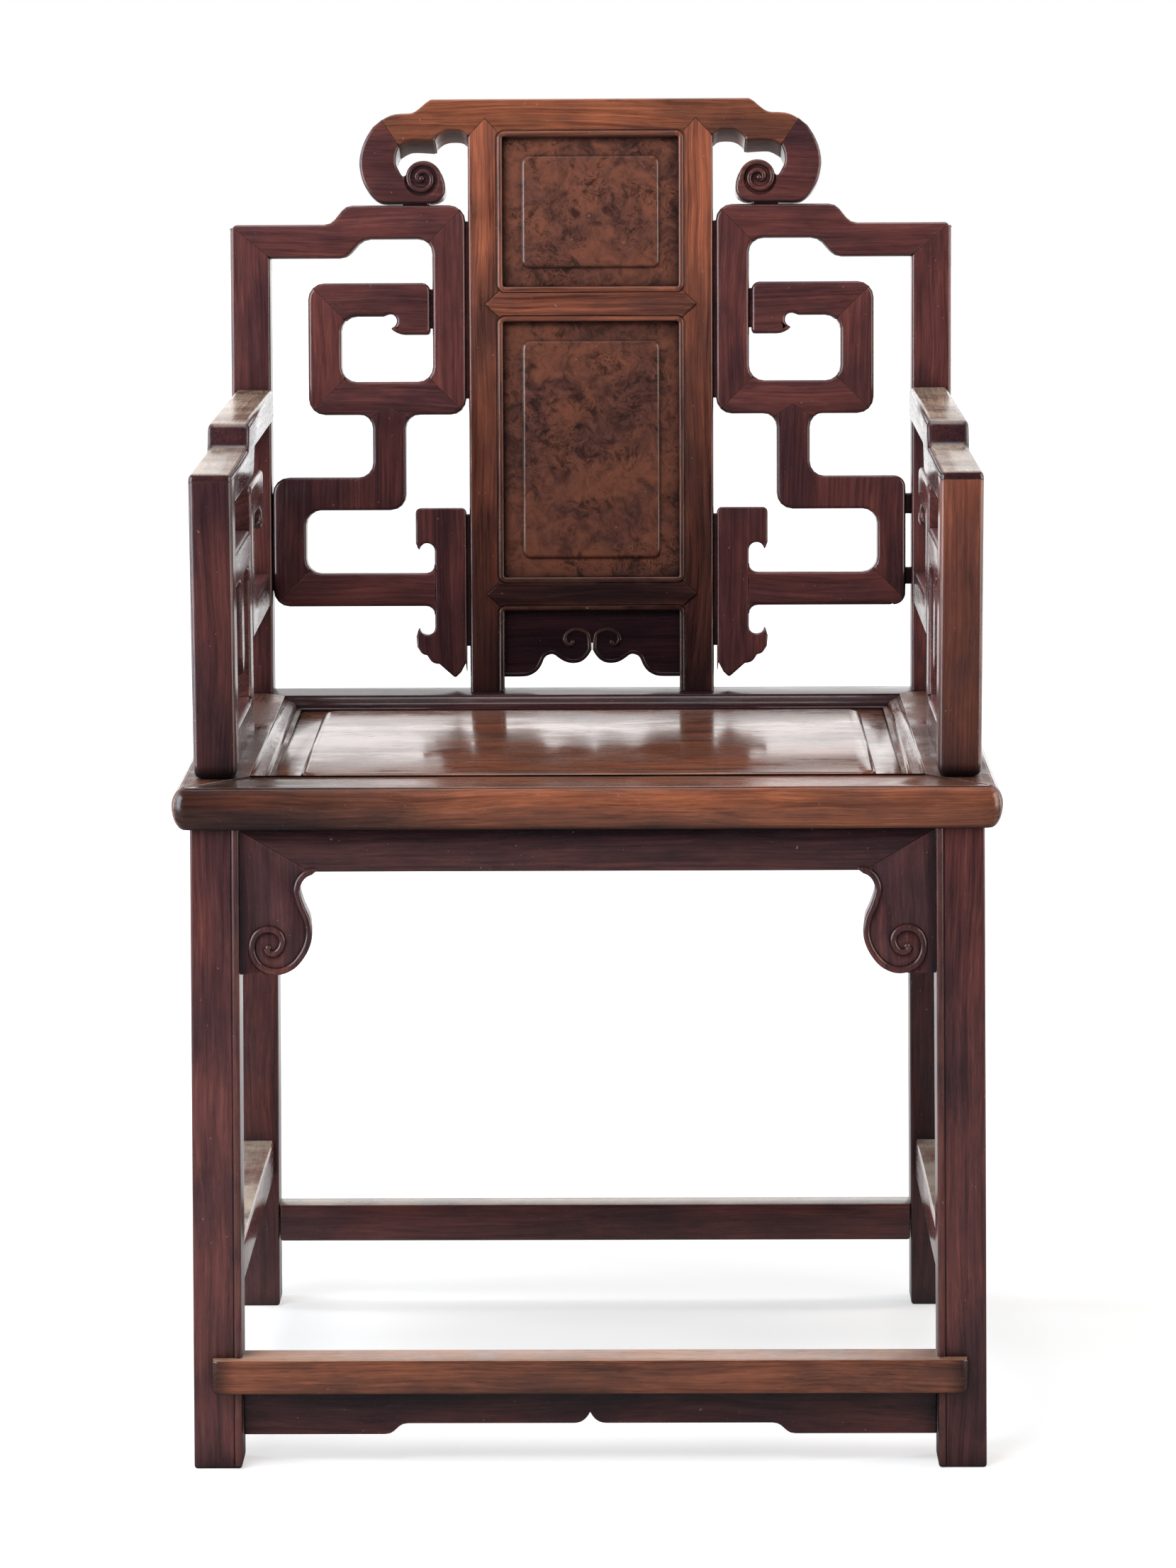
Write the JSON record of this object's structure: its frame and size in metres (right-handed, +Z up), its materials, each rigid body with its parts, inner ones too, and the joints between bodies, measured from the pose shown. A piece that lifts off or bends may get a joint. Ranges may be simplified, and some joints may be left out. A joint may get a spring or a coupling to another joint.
{
  "type": "armchair",
  "caption": "Square hardwood armchair with a burl-panelled splat, fretwork back and arms, a solid panel seat and a footrest.",
  "frame": {"origin": "on the floor, under the middle of the chair's outline", "axes": "+Z up, the sitter faces -Y, +X to the right as seen from the front"},
  "size_m": [0.61, 0.5397, 1.0002],
  "materials": {
    "warm_rosewood": "satin",
    "dark_rosewood": "satin",
    "burl": "satin"
  },
  "bodies": {
    "root": {"seat_front_rail": "warm_rosewood", "seat_back_rail": "warm_rosewood", "seat_left_rail": "warm_rosewood", "seat_right_rail": "warm_rosewood", "seat_panel": "warm_rosewood", "seat_brace": "dark_rosewood", "front_left_leg": "dark_rosewood", "front_right_leg": "dark_rosewood", "rear_left_leg": "dark_rosewood", "rear_right_leg": "dark_rosewood", "front_apron": "dark_rosewood", "front_left_bracket": "dark_rosewood", "front_right_bracket": "dark_rosewood", "left_apron": "dark_rosewood", "right_apron": "dark_rosewood", "back_apron": "dark_rosewood", "footrest_board": "dark_rosewood", "footrest_apron": "dark_rosewood", "left_stretcher": "dark_rosewood", "right_stretcher": "dark_rosewood", "back_stretcher": "dark_rosewood", "crest_rail": "warm_rosewood", "crest_left_ear": "warm_rosewood", "crest_right_ear": "warm_rosewood", "left_back_post": "dark_rosewood", "right_back_post": "dark_rosewood", "splat_left_stile": "dark_rosewood", "splat_right_stile": "dark_rosewood", "splat_middle_rail": "dark_rosewood", "splat_bottom_rail": "dark_rosewood", "splat_apron": "dark_rosewood", "splat_upper_panel": "burl", "splat_lower_panel": "burl", "left_fret_top_rail": "dark_rosewood", "left_fret_inner_upright": "dark_rosewood", "left_fret_scroll_bottom": "dark_rosewood", "left_fret_scroll_side": "dark_rosewood", "left_fret_scroll_top": "dark_rosewood", "left_fret_loop": "dark_rosewood", "left_fret_lower_rail": "dark_rosewood", "left_fret_bracket": "dark_rosewood", "left_arm_top_rail": "dark_rosewood", "left_arm_front_post": "dark_rosewood", "left_arm_bottom_rail": "dark_rosewood", "left_arm_loop": "dark_rosewood", "left_arm_scroll": "dark_rosewood", "right_fret_top_rail": "dark_rosewood", "right_fret_inner_upright": "dark_rosewood", "right_fret_scroll_bottom": "dark_rosewood", "right_fret_scroll_side": "dark_rosewood", "right_fret_scroll_top": "dark_rosewood", "right_fret_loop": "dark_rosewood", "right_fret_lower_rail": "dark_rosewood", "right_fret_bracket": "dark_rosewood", "right_arm_top_rail": "dark_rosewood", "right_arm_front_post": "dark_rosewood", "right_arm_bottom_rail": "dark_rosewood", "right_arm_loop": "dark_rosewood", "right_arm_scroll": "dark_rosewood"}
  },
  "joints": []
}
